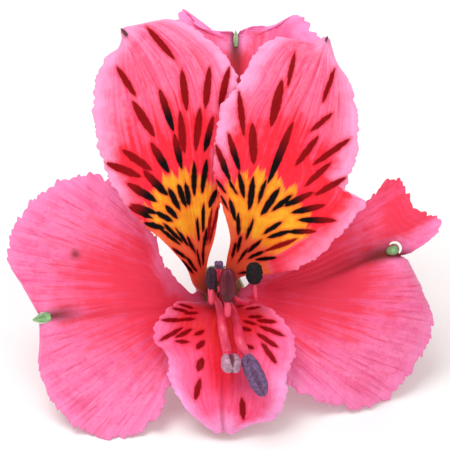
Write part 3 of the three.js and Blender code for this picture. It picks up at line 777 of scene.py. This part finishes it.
class LipInks(PropertyGroup):
    blade: colour_setting("Blade", "Pink of the sides", "F2487A")
    blade_light: colour_setting("Light blade", "Paler pink that mottles it", "FF70A4")
    back_rib: colour_setting("Back midrib", "Greenish midrib seen from behind", "C08A66")
    heart: colour_setting("Heart", "Red along the middle", "E61228")
    vein: colour_setting("Vein", "Darker lines that run out from the claw", "F2446C")
    # the midrib line: partly the midrib's own dark colour, partly painted shade of its crease
    rib: colour_setting("Midrib", "Line along the middle", "A00418")
    margin: colour_setting("Margin", "Pale lavender edge", "FBA4DC")
    blotch: colour_setting("Blotch", "Warmer red of the shoulders", "EE3A30")
    blotch_light: colour_setting("Light blotch", "Lighter red that mottles it", "F4503E")
    claw: colour_setting("Claw", "Deep red of the throat", "D81430")
    foot: colour_setting("Foot", "Dark red at the very base", "96101E")
    streak: colour_setting("Streak", "Dark red dashes", "88000C")
    streak_dark: colour_setting("Dark streak", "Darkest dashes", "3A0006")


def size_setting(name, description, default, top):
    """A length given in millimetres and kept in metres."""
    return FloatProperty(
        name=name, description=description, default=default * MM, min=0, max=top * MM, unit="LENGTH"
    )


class TepalShape(PropertyGroup):
    thickness: size_setting(
        "Thickness", "Base thickness: three quarters of it over the blade, more at the midrib", 0.34, 0.6
    )
    tooth: size_setting("Tooth", "Height of the teeth of the margin", 0.42, 1)
    ruffle: size_setting("Ruffle", "Height of the waves along the margin", 0.5, 2)
    groove: size_setting("Groove", "Depth of the midrib's groove", 0.3, 1)
    fineness: FloatProperty(
        name="Fineness", description="Mesh steps over a tepal", default=38, min=10, max=80
    )


def outer_fields(name, x, y):
    """Weights of the red glow (over the right tepal's upper lobe partly painted shade), the pale margin
    and the brown smudge inwards of the green point.
    """
    pale, spot = 0.6, 0
    if name == "upper_outer_tepal":
        glow, tip, pale = 0.85 * bell(x - 2.5, 4), (2.4, 39), 1.4
    elif name == "left_outer_tepal":
        glow, tip = 1 - smooth(np.hypot(0.75 * (x + 10.5), y), 2, 18), (-27, -4.2)
        spot = 0.8 * bell(np.hypot(x + 22.5, y - 5.6), 0.7)
    else:
        glow, tip = 1 - smooth(np.hypot(0.8 * (x - 14), y - 2), 3, 17), (27, 5.8)
        # the upper lobe gets more red and no pale margin: partly its own red, partly painted shade where
        # the lobe curves away
        upper_lobe_red_and_shade = smooth(y - 0.48 * x + 6.3, 0, 2.5) * smooth(x, 16, 20)
        glow = np.maximum(glow, upper_lobe_red_and_shade * (0.5 + 0.45 * smooth(x, 20, 30)))
        pale = pale * (1 - 0.9 * upper_lobe_red_and_shade)
    inward = -unit(tip)
    along = (x - tip[0]) * inward[0] + (y - tip[1]) * inward[1]
    aside = (x - tip[0]) * inward[1] - (y - tip[1]) * inward[0]
    wide = 0.7 + 0.16 * np.clip(along, 0, 6)
    smudge = 0.9 * bell(aside, wide) * smooth(along, -1.5, 0) * (1 - smooth(along, 0.6, 6.5))
    weights = {"glow": glow, "stir": 0.95, "smudge": smudge + spot, "pale": pale}
    return {key: np.broadcast_to(value, x.shape) for key, value in weights.items()}


def lip_fields(x, y, fields):
    """Weights of the red middle, the warm shoulders and the pale margin of the lip."""
    middle = bell(x - 0.4, 3.6) * (1 - smooth(-y, 12, 20))
    shoulders = 0.85 * (1 - smooth(np.hypot(0.8 * x, y + 3), 4.5, 10))
    tip = 0.9 * bell(x - 0.6, 1.5) * bell(y + 22, 2.2)
    return {
        "glow": np.maximum(np.maximum(middle, shoulders * 0.8), tip), "stir": np.full(x.shape, 0.7),
        "blotch": 0.55 * shoulders, "claw": bell(x - 0.4, 2.0) * (1 - smooth(-y, 7, 12)),
        "foot": 0.7 * (1 - smooth(fields["reach"], 3, 5)), "pale": 0.3 + 0.7 * smooth(-y, 8, 16),
    }


def streaked_fields(name, x, y, fields):
    """Weights of the yellow blotch, the red flush beyond it, the coral claw and the pale margin."""
    r, v = fields["reach"], fields["across"]
    top = 20.5 - 4.5 * np.abs(v) ** 1.5 + ripple(v * 10, 0.8, (2.6, 0.7), (1.4, 0.5))
    blotch = smooth(r, 8, 11.5) * (1 - smooth(r, top - 2.4, top + 0.6))
    blotch = blotch * (1 - smooth(np.abs(v), 0.6, 0.95))
    glow = 1 - smooth(r, top + 1, top + 17)
    claw = 1 - smooth(r, top - 2.5, top + 1)
    if name == "right_inner_tepal":
        flap = smooth(0.6 * x + 0.6 - y, -0.5, 1.2) * smooth(r, 7, 10)
        blotch, claw = blotch * (1 - flap), claw * (1 - flap)
        glow = np.maximum(glow * (1 - flap), 0.8 * flap)
        edge = 0.6 * flap * smooth(r, 9, 14)
    else:
        edge = 0
    return {
        "glow": glow, "stir": 1.5 * smooth(r, 16, 22) * (1 - smooth(r, 36, 42)),
        "blotch": blotch, "claw": claw,
        "foot": 0.75 * (1 - smooth(r, 2.5, 5)), "pale": np.maximum(smooth(r, 15, 24), edge),
    }


def make_tepal(name, settings, material):
    slot = TEPALS[name]["slot"]
    droop = TEPALS[name].get("droop", 0)
    if droop is None:
        droop = resting_droop(name, settings)
    grid, fields, thickness = tepal_grid(name, settings, droop)
    x, y = grid[..., 0], grid[..., 1]
    # the midrib field weighs a dark line along the midrib: partly its own colour, partly painted shade
    # of its groove
    before, after = TEPALS[name]["rib"]
    fade = smooth(fields["along"], 0.15, 0.7)
    left, right = (strength * bell(fields["spine"], width) for strength, width in (before, after))
    fields["midrib"] = fade * np.where(fields["spine"] < 0, left, right)
    if slot == "outer_tepal":
        fields.update(outer_fields(name, x, y))
    elif slot == "inner_tepal":
        fields.update(streaked_fields(name, x, y, fields))
    else:
        fields.update(lip_fields(x, y, fields))
    if name in STREAKS:
        fields.update(streak_fields(name, grid, fields))
    obj = sheet_mesh(name.replace("_tepal", "_petal"), grid, thickness, fields)
    finish_piece(obj, material, slot, name)
    return obj


def finish_piece(obj, material, slot, *nodes):
    """Gives a piece its material, hangs it under its body and hides the solids of its nodes; slot is not
    used.
    """
    obj.data.materials.append(material)
    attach(obj, ROOT)
    if nodes:
        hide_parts(*nodes)


# ---- stamens, style, ovary and stalk -------------------------------------------------------
# ring angle, end radius and points on the way of each filament, then the finish and slot of its
# anther, and whether its pollen is out
STAMENS = [
    (150, 0.5, [(-1.3, 0.9, 8), (-1.4, 0.2, 14)], "slate", "dark_anther", True),
    (90, 0.45, [(-0.05, 1.7, 8), (-0.2, 2.8, 12)], "violet", "grey_anther", True),
    (30, 0.55, [(1.3, 0.5, 8), (1.2, -1.2, 14)], "maroon", "maroon_anther", False),
    (-30, 0.38, [(1.7, -1, 7), (3.8, -2.2, 11.5), (5.5, -1.6, 14.4)], "ink", "dark_anther", True),
    (210, 0.78, [(-0.9, -1.2, 8), (-0.1, -2.6, 13), (0.5, -6.4, 16.8)], "mauve", "grey_anther", False),
    (270, 0.78, [(0.7, -1.6, 8), (2.1, -3.3, 13.5), (2.9, -6.6, 17.2)], "violet", "grey_anther", True),
]
NECK = 1.6  # length over which a filament runs straight into its anther


def own_frame(points):
    """Points of the scene, in metres, in the bloom's own frame, in millimetres."""
    return (np.asarray(points) - ORIGIN) @ AXES.T / MM


def rings(centres, section):
    """Points and faces of a closed skin over rings; section(i) gives each ring's points."""
    loops = [section(i) for i in range(len(centres))]
    count = len(loops[0])
    points = np.concatenate(loops)
    faces = []
    for i in range(len(loops) - 1):
        for j in range(count):
            a, b = i * count + j, i * count + (j + 1) % count
            faces.append((a, b, b + count, a + count))
    last = (len(loops) - 1) * count
    faces.append(tuple(range(count - 1, -1, -1)))
    faces.append(tuple(range(last, last + count)))
    return points, faces


def bearings(sides):
    return np.linspace(0, 2 * math.pi, sides, endpoint=False)


def across_line(centres, hint):
    """For each point of a line, two directions across it, the first close to hint."""
    tangents = np.gradient(centres, axis=0)
    tangents /= np.linalg.norm(tangents, axis=1, keepdims=True)
    first = np.asarray(hint) - tangents * (tangents @ np.asarray(hint))[:, None]
    first /= np.linalg.norm(first, axis=1, keepdims=True)
    return first, np.cross(tangents, first)


def rod(name, centres, radii, sides, relief=None, hint=(0, 0, 1), directions=None):
    """A round rod along a line of centres, in the bloom's frame; relief(turn, i) scales a ring."""
    first, second = directions or across_line(centres, hint)
    turn = bearings(sides)

    def section(i):
        radius = radii[i] * (relief(turn, i) if relief else 1)
        ring = np.outer(np.cos(turn) * radius, first[i]) + np.outer(np.sin(turn) * radius, second[i])
        return centres[i] + ring

    points, faces = rings(centres, section)
    return mesh_object(name, placed(points), faces)


def filament_line(angle, via, anther_foot, axis, steps):
    """From the ovary's top, by way of the filament's points, straight into its anther."""
    turn = math.radians(angle)
    foot = (FILAMENT_RING * math.cos(turn), FILAMENT_RING * math.sin(turn), -0.2)
    neck = anther_foot - axis * (GAP + NECK)
    line = through([foot, *via, neck, anther_foot + axis * 0.4], np.linspace(0, 1, steps))
    for _ in range(12):
        line[1:-1] = (line[:-2] + 2 * line[1:-1] + line[2:]) / 4
    return line


def anther_axis(node, towards):
    """Centre, direction, length and width of an anther, in the bloom's frame."""
    points = own_frame(solid(node)[0])
    centre = own_frame(centre_of(node))
    spread = points - centre
    _, _, directions = np.linalg.svd(spread, full_matrices=False)
    axis = directions[0]
    if axis @ (centre - np.asarray(towards)) < 0:
        axis = -axis
    length = 2 * np.abs(spread @ axis).max()
    width = 2 * np.abs(spread @ directions[1]).max()
    return centre, axis, length, width


# bearing, depth and width of each groove round an anther, front and back ones the deepest
ANTHER_GROOVES = (
    (0, 0.34, 0.42), (math.pi, 0.26, 0.5), (math.pi / 2, 0.1, 0.22), (-math.pi / 2, 0.1, 0.22),
)


SAC_REACH = 1.06  # radius between an anther's grooves, as a share of the solid anther's


def anther_mesh(name, centre, axis, length, width, ripe):
    """Two pollen sacs side by side: a body with deep grooves front and back."""
    steps, sides = 64, 72
    t = np.linspace(-1, 1, steps)
    front = (0, 1, 0) if abs(axis[2]) > 0.85 else (0, 0, 1)
    centres = centre + np.outer(t * length / 2, axis)
    profile = (1 - np.abs(t) ** 2.6) ** 0.5
    radii = np.maximum(profile, 0.02) * width / 2
    grain = np.random.default_rng(int(length * 100)).normal(size=(steps, sides))
    for _ in range(2):
        grain = (grain + np.roll(grain, 1, 1) + np.roll(grain, -1, 1)) / 3
    rough = 0.05 if ripe else 0.012

    def relief(turn, i):
        shape = np.ones_like(turn)
        for at, deep, wide in ANTHER_GROOVES:
            off = np.angle(np.exp(1j * (turn - at)))
            shape = shape - deep * bell(off, wide)
        lumps = ripe * 0.07 * np.sin(3 * turn + 4 * t[i]) * np.sin(8 * t[i] + length)
        return shape * (1 + rough * grain[i] + lumps) * SAC_REACH

    obj = rod(name, centres, radii, sides, relief, hint=front)
    turn = bearings(sides)
    set_field(obj, "groove", np.concatenate([SAC_REACH - relief(turn, i) for i in range(steps)]))
    return obj


def make_stamen(number, inks):
    """A filament, which narrows where it meets its anther, and the anther."""
    angle, end_radius, via, kind, slot, ripe = STAMENS[number - 1]
    node = f"anther_{number}"
    centre, axis, length, width = anther_axis(node, via[-1])
    line = filament_line(angle, via, centre - axis * length / 2, axis, 56)
    t = np.linspace(0, 1, len(line))
    radii = FILAMENT_FOOT + (end_radius - FILAMENT_FOOT) * smooth(t, 0.1, 0.7)
    radii = radii * (1 - 0.45 * smooth(t, 0.9, 1.0))

    def flutes(turn, i):
        return 1 + 0.04 * np.cos(3 * turn + 0.1 * i)

    filament = rod(f"filament_{number}_thread", line, radii, 20, flutes, hint=(1, 0, 0))
    finish_piece(filament, inks["filament"], "filament", f"filament_{number}")
    anther = anther_mesh(f"anther_{number}_sacs", centre, axis, length, width, ripe)
    finish_piece(anther, inks[kind], slot, node)


class StamenInks(PropertyGroup):
    filament: colour_setting("Filament", "Threads that carry the anthers", "DA2C54")
    filament_light: colour_setting("Light filament", "Paler tone that mottles them", "F05878")
    maroon: colour_setting("Unripe anther", "Glossy closed anther", "5C0820")
    slate: colour_setting("Slate anther", "Open anther with dark pollen", "3A2434")
    violet: colour_setting("Violet anther", "Open anther with grey violet pollen", "6E5074")
    mauve: colour_setting("Mauve anther", "Anther about to open", "AE8298")
    ink: colour_setting("Ink anther", "Open anther with blackish pollen", "15191C")
    groove: colour_setting("Groove", "Slit between the pollen sacs", "4C0418")


class GreenInks(PropertyGroup):
    skin: colour_setting("Skin", "Green of the ovary and stalk", "7C9A48")
    shade: colour_setting("Shade", "Darker green between the ribs", "4E7030")
    blush: colour_setting("Blush", "Red tinge of the ribs", "A8583C")
    pith: colour_setting("Pith", "Pale cut end of the stalk", "CBD39A")
    point: colour_setting("Point", "Green tips of the outer tepals", "8DBB7E")
    point_rim: colour_setting("Point rim", "Pale edge of the green tips", "EFF2E6")
    dark_point: colour_setting("Dark point", "Rolled tips of the inner tepals", "5E1420")


def thread_finish(inks):
    finish = Finish("filament skin", roughness=0.4, Coat_Weight=0.15, Coat_Roughness=0.3)
    grain = finish.noise(1.0, 3, 0.6, finish.stretched((900, 900, 250), finish.place()))
    finish.colour(finish.over(inks.filament, inks.filament_light, grain, 0.35, 0.75, 0, 0.5))
    finish.bump(grain, 0.3, 0.15)
    return finish.material


def anther_finish(name, ink, inks, ripe):
    finish = Finish(name, roughness=0.75 if ripe else 0.42, Specular_IOR_Level=0.15 if ripe else 0.3)
    grain = finish.noise(2600 if ripe else 1200, 4, 0.65)
    pale = tuple(min(1, c * 1.7 + 0.005) for c in ink)
    dark = tuple(c * 0.45 for c in ink)
    tone = finish.over(dark, pale, grain, 0.3, 0.7)
    tone = finish.mix(0.35, tone, ink)
    slit = 0.3 if ripe else 0.85
    finish.colour(finish.over(tone, inks.groove, finish.field("groove"), 0.12, 0.3, 0, slit))
    finish.bump(grain, 0.6 if ripe else 0.25, 0.2)
    return finish.material


def green_finish(name, inks):
    finish = Finish(name, roughness=0.45, Coat_Weight=0.1, Coat_Roughness=0.35)
    streaky = finish.noise(1.0, 4, 0.6, finish.stretched((700, 250, 700), finish.place()))
    patch = finish.noise(220, 3, 0.5)
    tone = finish.over(inks.shade, inks.skin, streaky, 0.3, 0.7)
    tone = finish.over(tone, inks.blush, finish.field("ridge"), 0.2, 1.0, 0, 0.35)
    tone = finish.over(tone, inks.blush, patch, 0.55, 0.75, 0, 0.4)
    finish.colour(finish.mix(finish.field("cut"), tone, inks.pith))
    finish.bump(streaky, 0.35, 0.2)
    finish.rough(patch, 0.38, 0.6)
    return finish.material


OVARY_RIBS, STALK_RIBS = 6, 9


def make_ovary(material):
    """An egg with six ribs that widens from the stalk to the ring of tepals."""
    depth = np.linspace(0, 1, 60)
    neck = STALK_RADIUS + 0.35 * (OVARY_RADIUS - STALK_RADIUS)
    shape = [
        (0, STALK_RADIUS + 0.3), (0.15, neck), (0.5, 0.92 * OVARY_RADIUS), (0.8, OVARY_RADIUS),
        (0.97, OVARY_RADIUS - 0.25), (1, OVARY_RADIUS - 0.5),
    ]
    radii = through(shape, depth)
    centres = np.outer(radii[:, 0] - 1, [0, 0, OVARY_LENGTH])
    centres[0, 2] -= GAP

    def ridge(turn):
        return np.abs(np.cos(OVARY_RIBS / 2 * turn)) ** 3

    def relief(turn, i):
        return 0.95 + 0.09 * (ridge(turn) - 0.4) * math.sin(math.pi * (0.12 + 0.8 * depth[i]))

    sides = 96
    obj = rod("ovary_skin", centres, radii[:, 1], sides, relief, hint=(1, 0, 0))
    set_field(obj, "ridge", np.tile(ridge(bearings(sides)), len(depth)))
    set_field(obj, "cut", np.zeros(len(depth) * sides))
    finish_piece(obj, material, "ovary", "ovary")


def make_stalk(material):
    """A short stalk with faint ribs; its cut face is dished and paler."""
    top = -OVARY_LENGTH
    middle, end = (top - GAP - length for length in (STALK_LENGTH / 2, STALK_LENGTH))
    along = np.linspace(0, 1, 70)
    side = through([(0, 0, top + 0.5), (0, -STALK_BEND / 4, middle), (0, -STALK_BEND, end)], along)
    radii = STALK_RADIUS * (0.97 + 0.1 * (1 - smooth(along, 0, 0.12)))
    tangent = unit(side[-1] - side[-2])
    # the cut face: rings inwards from its edge, each a share of the radius and how far it stands out
    dish = [(0.94, 0.03), (0.8, -0.1), (0.55, -0.2), (0.3, -0.12), (0.05, -0.06)]
    line = np.concatenate([side, [side[-1] + tangent * out for _, out in dish]])
    sizes = np.concatenate([radii, [radii[-1] * share for share, _ in dish]])
    directions = [
        np.concatenate([across, np.repeat(across[-1:], len(dish), axis=0)])
        for across in across_line(side, (1, 0, 0))
    ]

    def relief(turn, i):
        return 1 + 0.025 * np.cos(STALK_RIBS * turn) if i < len(side) else 0.99

    sides = 48
    obj = rod("stalk_skin", line, sizes, sides, relief, directions=directions)
    ridge = np.cos(STALK_RIBS * bearings(sides)) * 0.5 + 0.5
    set_field(obj, "ridge", np.tile(ridge, len(line)))
    set_field(obj, "cut", np.repeat([0.0] * len(side) + [0.6] + [1.0] * (len(dish) - 1), sides))
    finish_piece(obj, material, "stalk", "stalk")


def make_style(material):
    """The style, with its three short stigma arms just parting."""
    foot = own_frame(centre_of("style")) * (1, 1, 0)
    top = own_frame(solid("style")[0])[:, 2].max()
    t = np.linspace(0, 1, 50)
    centres = foot + np.outer(t, [0, 0, top]) - (0, 0, 0.1)
    radii = STYLE_RADIUS * (1 + 0.5 * smooth(t, 0.86, 0.97))

    def arms(turn, i):
        return 1 - 0.35 * smooth(t[i], 0.85, 0.97) * (0.5 - 0.5 * np.cos(3 * turn))

    obj = rod("style_and_stigma", centres, radii, 36, arms, hint=(1, 0, 0))
    finish_piece(obj, material, "filament", "style")


# Tepal, base, tip, rise towards the face and width of each pointed end but the hooked one.
POINTS = {
    "upper_green_point": ("upper_outer_tepal", (2.5, 37.9), (2.45, 40.5), 0.5, 0.75),
    "left_green_point": ("left_outer_tepal", (-26.3, -4.1), (-29.1, -4.7), 0.7, 1.9),
    "left_dark_point": ("left_inner_tepal", (-14.3, 39.3), (-15.3, 40.4), 0.2, 0.6),
    "right_dark_point": ("right_inner_tepal", (16.3, 38.4), (16.6, 39.2), 0.2, 0.4),
}


def surface_at(tepal, point):
    """Height of a tepal's middle over a point of the face."""
    return TEPALS[tepal]["depth"](math.hypot(*point))


def make_point(name, material):
    """A small stiff beak at the end of a tepal's midrib, curled forward at its tip."""
    tepal, base, tip, curl, width = POINTS[name]
    base, tip = np.array(base), np.array(tip)
    t = np.linspace(0, 1, 30)
    flat = base + np.outer(t, tip - base)
    start, end = surface_at(tepal, base), surface_at(tepal, tip)
    lift = start + (end - start) * t
    lift = lift + 0.25 + curl * t**1.6
    centres = np.column_stack([flat, lift])
    radii = width / 2 * np.maximum(0.1, np.sin(math.pi * (0.2 + 0.76 * t)) ** 0.8)
    side = unit([-(tip - base)[1], (tip - base)[0], 0])

    def flattened(turn, i):
        return 1 - 0.45 * np.abs(np.sin(turn)) - 0.2 * bell(turn - math.pi / 2, 0.5)

    sides = 28
    obj = rod(name, centres, radii, sides, flattened, hint=side)
    set_field(obj, "ridge", np.outer(0.4 + 0.6 * t, np.abs(np.cos(bearings(sides))) ** 4))
    finish_piece(obj, material, "ovary" if "green" in name else TEPALS[tepal]["slot"])


HOOK_MIDDLE = (27.1, 6.4)
HOOK_RADIUS = 0.95


def make_hook(green, white):
    """The right outer tepal's point: a green knob with its pale edge hooked round it."""
    height = surface_at("right_outer_tepal", HOOK_MIDDLE) + 0.8
    middle = np.array([*HOOK_MIDDLE, height])
    t = np.linspace(0, 1, 30)
    turn = np.radians(140 - 185 * t)
    arc = middle + np.column_stack([HOOK_RADIUS * np.cos(turn), HOOK_RADIUS * np.sin(turn), 0.35 * t])
    rim = rod("right_point_rim", arc, 0.24 * np.sin(math.pi * (0.12 + 0.76 * t)) ** 0.7, 20)
    set_field(rim, "ridge", np.ones(len(rim.data.vertices)))
    finish_piece(rim, white, "ovary")
    inside = middle + (-1.1, -0.5, -0.5) + np.outer(t, (1.7, 0.5, 0.6))

    def creased(turn, i):
        return 1 - 0.18 * np.abs(np.sin(1.5 * turn))

    size = 0.85 * np.sin(math.pi * (0.1 + 0.84 * t)) ** 0.6
    knob = rod("right_point_knob", inside, size, 28, creased)
    set_field(knob, "ridge", np.zeros(len(knob.data.vertices)))
    finish_piece(knob, green, "ovary")


def point_finish(name, ink, edge):
    finish = Finish(name, roughness=0.4)
    grain = finish.noise(900, 3, 0.6)
    tone = finish.over(ink, tuple(c * 0.5 for c in ink), grain, 0.3, 0.7)
    finish.colour(finish.over(tone, edge, finish.field("ridge"), 0.35, 0.8, 0, 0.9))
    finish.bump(grain, 0.3, 0.15)
    return finish.material


# ---- stage ---------------------------------------------------------------------------------


def power_setting(name, description, default, unit="POWER"):
    return FloatProperty(name=name, description=description, default=default, min=0, unit=unit)


class StageSettings(PropertyGroup):
    distance: FloatProperty(
        name="Camera distance", description="From the bloom's face", default=0.6, unit="LENGTH"
    )
    view_width: FloatProperty(
        name="View width", description="Width of the view at the face", default=0.06975, unit="LENGTH"
    )
    floor: colour_setting("Floor", "Pale table", "FBFAF8")
    key: power_setting("Key light", "Power of the large soft light", 3.4)
    fill: power_setting("Fill light", "Power of the light from the camera's side", 0.9)
    sky: power_setting("Sky", "Strength of the even light all round", 0.7, "NONE")


FACE_CENTRE = (0.78, 10.08, 16.0)  # middle of the view, in the bloom's frame, mm
FLOOR_WIDTH = 6.0


def add_area(name, place, target, size, power):
    lamp = bpy.data.lights.new(name, "AREA")
    lamp.shape, lamp.size, lamp.energy = "DISK", size, power
    obj = add_object(name, lamp)
    obj.location = place
    obj.rotation_euler = (target - place).to_track_quat("-Z", "Y").to_euler()


def make_stage(settings):
    target = Vector(placed(FACE_CENTRE))
    out, up = Vector(AXIS_OUT), Vector(AXIS_UP)
    camera = bpy.data.cameras.new("camera")
    camera.lens = camera.sensor_width * settings.distance / settings.view_width
    camera.clip_start = 0.01
    eye = add_object("camera", camera)
    right = up.cross(out)
    turn = Matrix((right, up, out)).transposed()
    eye.matrix_world = Matrix.Translation(target + out * settings.distance) @ turn.to_4x4()
    bpy.context.scene.camera = eye

    half = FLOOR_WIDTH / 2
    corners = [(-half, -half, 0), (half, -half, 0), (half, half, 0), (-half, half, 0)]
    floor = mesh_object("floor", corners, [(0, 1, 2, 3)])
    finish = Finish("table top", roughness=0.6)
    shade = tuple(c * 0.97 for c in settings.floor)
    finish.colour(finish.over(settings.floor, shade, finish.noise(60, 3, 0.5), 0.3, 0.7))
    floor.data.materials.append(finish.material)

    add_area("key light", target + Vector((-0.2, -0.15, 0.75)), target, 0.5, settings.key)
    add_area("fill light", target + out * 0.7 + Vector((0.3, 0, 0.1)), target, 0.6, settings.fill)
    world = bpy.data.worlds.new("studio")
    world.use_nodes = True
    background = world.node_tree.nodes["Background"]
    background.inputs["Color"].default_value = (1, 1, 1, 1)
    background.inputs["Strength"].default_value = settings.sky
    bpy.context.scene.world = world
    bpy.context.scene.view_settings.view_transform = "Standard"


# ---- operators -----------------------------------------------------------------------------


class BLOOM_OT_outer_tepals(Operator):
    """Build the three outer tepals"""
    bl_idname = "bloom.outer_tepals"
    bl_label = "Outer tepals"

    def execute(self, context):
        scene = context.scene
        material = outer_finish("outer tepal skin", scene.bloom_outer)
        for name in ("upper_outer_tepal", "left_outer_tepal", "right_outer_tepal"):
            make_tepal(name, scene.bloom_shape, material)
        return {"FINISHED"}


class BLOOM_OT_inner_tepals(Operator):
    """Build the two streaked upper inner tepals and the lip"""
    bl_idname = "bloom.inner_tepals"
    bl_label = "Inner tepals"

    def execute(self, context):
        scene = context.scene
        material = inner_finish("inner tepal skin", scene.bloom_inner)
        for name in ("left_inner_tepal", "right_inner_tepal"):
            make_tepal(name, scene.bloom_shape, material)
        lip = inner_finish("lip skin", scene.bloom_lip)
        make_tepal("lower_inner_tepal", scene.bloom_shape, lip)
        return {"FINISHED"}


class BLOOM_OT_points(Operator):
    """Build the green and dark points that end the tepals"""
    bl_idname = "bloom.points"
    bl_label = "Points"

    def execute(self, context):
        inks = context.scene.bloom_greens
        green = point_finish("green point skin", inks.point, inks.point_rim)
        dark = point_finish("dark point skin", inks.dark_point, inks.dark_point)
        for name in POINTS:
            make_point(name, green if "green" in name else dark)
        make_hook(green, point_finish("point rim skin", inks.point_rim, inks.point_rim))
        return {"FINISHED"}


class BLOOM_OT_stamens(Operator):
    """Build the six filaments and their anthers"""
    bl_idname = "bloom.stamens"
    bl_label = "Stamens"

    def execute(self, context):
        inks = context.scene.bloom_stamens
        made = {"filament": thread_finish(inks)}
        for *_, kind, _, ripe in STAMENS:
            if kind not in made:
                made[kind] = anther_finish(f"{kind} anther skin", getattr(inks, kind), inks, ripe)
        for number in range(1, len(STAMENS) + 1):
            make_stamen(number, made)
        return {"FINISHED"}


class BLOOM_OT_style(Operator):
    """Build the style and its stigma"""
    bl_idname = "bloom.style"
    bl_label = "Style"

    def execute(self, context):
        make_style(thread_finish(context.scene.bloom_stamens))
        return {"FINISHED"}


class BLOOM_OT_greens(Operator):
    """Build the ribbed ovary and the cut stalk"""
    bl_idname = "bloom.greens"
    bl_label = "Ovary and stalk"

    def execute(self, context):
        inks = context.scene.bloom_greens
        make_ovary(green_finish("ovary skin", inks))
        make_stalk(green_finish("stalk skin", inks))
        return {"FINISHED"}


class BLOOM_OT_stage(Operator):
    """Set the camera, the floor and the lights"""
    bl_idname = "bloom.stage"
    bl_label = "Stage"

    def execute(self, context):
        make_stage(context.scene.bloom_stage)
        return {"FINISHED"}


class BLOOM_PT_panel(Panel):
    """Lists the steps that build the bloom"""
    bl_label = "Alstroemeria bloom"
    bl_idname = "BLOOM_PT_panel"
    bl_space_type = "VIEW_3D"
    bl_region_type = "UI"
    bl_category = "Bloom"

    def draw(self, context):
        for step in STEPS:
            self.layout.operator(step.bl_idname)
        for setting in SETTINGS:
            group = getattr(context.scene, setting)
            box = self.layout.box()
            for key in group.__annotations__:
                box.prop(group, key)


STEPS = (
    BLOOM_OT_stage, BLOOM_OT_outer_tepals, BLOOM_OT_inner_tepals, BLOOM_OT_points,
    BLOOM_OT_stamens, BLOOM_OT_style, BLOOM_OT_greens,
)
SETTINGS = {
    "bloom_shape": TepalShape, "bloom_outer": OuterInks, "bloom_inner": InnerInks, "bloom_lip": LipInks,
    "bloom_stamens": StamenInks, "bloom_greens": GreenInks, "bloom_stage": StageSettings,
}


def register():
    for group in SETTINGS.values():
        bpy.utils.register_class(group)
    for name, group in SETTINGS.items():
        setattr(bpy.types.Scene, name, PointerProperty(type=group))
    for step in (*STEPS, BLOOM_PT_panel):
        bpy.utils.register_class(step)


def unregister():
    for step in reversed((*STEPS, BLOOM_PT_panel)):
        bpy.utils.unregister_class(step)
    for name, group in SETTINGS.items():
        delattr(bpy.types.Scene, name)
        bpy.utils.unregister_class(group)


def main():
    register()
    bpy.ops.bloom.stage()
    bpy.ops.bloom.outer_tepals()
    bpy.ops.bloom.inner_tepals()
    bpy.ops.bloom.points()
    bpy.ops.bloom.stamens()
    bpy.ops.bloom.style()
    bpy.ops.bloom.greens()


if __name__ == "__main__":
    main()
